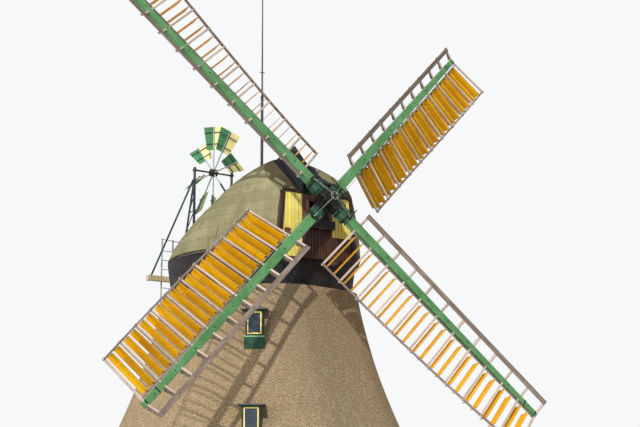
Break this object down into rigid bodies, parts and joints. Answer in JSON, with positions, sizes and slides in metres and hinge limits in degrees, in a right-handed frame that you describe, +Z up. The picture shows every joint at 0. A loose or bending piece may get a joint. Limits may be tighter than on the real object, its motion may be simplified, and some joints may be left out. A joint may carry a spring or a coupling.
{
  "type": "traditional windmill",
  "caption": "Thatched smock mill on a brick base, with a turning boat-shaped cap, lattice sails with shutters and a fantail behind.",
  "frame": {"origin": "on the tower's axis at ground level, on the underside of the ground floor", "axes": "+Z up; the tower face that is seen straight on looks along -Y; the cap is turned so that the sails look 34 degrees from -Y towards +X"},
  "size_m": [15.408, 15.0139, 20.1],
  "materials": {
    "brick": "fired brick laid in lime mortar, matt",
    "thatch": "weathered reed thatch, combed downwards, dry and matt",
    "plain_timber": "sawn timber, dry and unpainted",
    "green_paint": "green linseed paint on timber, half matt and weathered",
    "white_paint": "white paint on timber, half matt",
    "glass": "clear window glass",
    "lead_grey": "painted timber drip board, half matt",
    "roof_felt": "mineral felt on boards, laid in courses, matt with a little moss",
    "felt_skirt": "tarred boards, dark and matt",
    "yellow_paint": "yellow paint on upright boards, half matt",
    "brown_paint": "red-brown paint on boards, half matt",
    "iron": "blackened iron with a little grease",
    "flagpole_grey": "grey painted pole, half matt",
    "tail_timber": "dark green-grey paint on timber and angle iron, weathered",
    "cream_paint": "pale yellow paint on thin boards, half matt",
    "sail_lattice": "weathered timber with worn paint, grey-brown",
    "sail_shutters": "warm yellow paint on thin boards, half matt"
  },
  "bodies": {
    "tower": {"brick_walls_corners": "brick", "brick_walls_doors": "brick", "brick_walls_windows": "brick", "curb_ring": "plain_timber", "door_frames": "white_paint", "door_leaves": "green_paint", "first_floor": "plain_timber", "ground_floor": "plain_timber", "second_floor": "plain_timber", "thatch_back": "thatch", "thatch_back_left": "thatch", "thatch_back_right": "thatch", "thatch_front": "thatch", "thatch_front_left": "thatch", "thatch_front_right": "thatch", "thatch_left": "thatch", "thatch_right": "thatch", "window_aprons": "green_paint", "window_frames": "green_paint", "window_lintels": "lead_grey", "window_panes": "glass"},
    "cap": {"cap_ring": "plain_timber", "cap_roof": "roof_felt", "cap_sheers": "plain_timber", "curb_skirt": "felt_skirt", "eave_rim": "plain_timber", "fan_post_left": "tail_timber", "fan_post_right": "tail_timber", "fan_struts": "tail_timber", "flagpole": "flagpole_grey", "front_boarding": "brown_paint", "gable_boards": "yellow_paint", "gable_trim": "brown_paint", "neck_bearing": "iron", "storm_hood": "brown_paint", "tail_crossbeam": "tail_timber", "tail_handrail": "tail_timber", "tail_ladder": "tail_timber", "tail_platform": "tail_timber", "thrust_bearing": "iron", "weather_beam": "brown_paint"},
    "sails": {"inner_stock": "green_paint", "outer_stock": "green_paint", "poll_end": "green_paint", "sail_lower_left": "sail_lattice", "sail_lower_right": "sail_lattice", "sail_upper_left": "sail_lattice", "sail_upper_right": "sail_lattice", "shutter_rods": "iron", "shutters_lower_left": "sail_shutters", "shutters_lower_right": "sail_shutters", "shutters_upper_left": "sail_shutters", "shutters_upper_right": "sail_shutters", "stock_clamps": "iron", "striking_gear": "iron", "wind_shaft": "iron"},
    "fan": {"fan_hub": "tail_timber", "fan_spokes": "tail_timber", "fan_vanes_green": "green_paint", "fan_vanes_yellow": "cream_paint"}
  },
  "joints": [
    {"name": "cap_turn", "type": "hinge", "parent": "tower", "child": "cap", "pos_m": [0, 0, 0], "axis": [0, 0, 1], "continuous": true},
    {"name": "sails_spin", "type": "hinge", "parent": "cap", "child": "sails", "pos_m": [2.2871, -3.39076, 11.13], "axis": [0.5426, -0.8044, 0.2419], "continuous": true},
    {"name": "fan_spin", "type": "hinge", "parent": "cap", "child": "fan", "pos_m": [-2.12493, 3.15034, 13.97], "axis": [0.829, 0.5592, 0], "continuous": true}
  ]
}
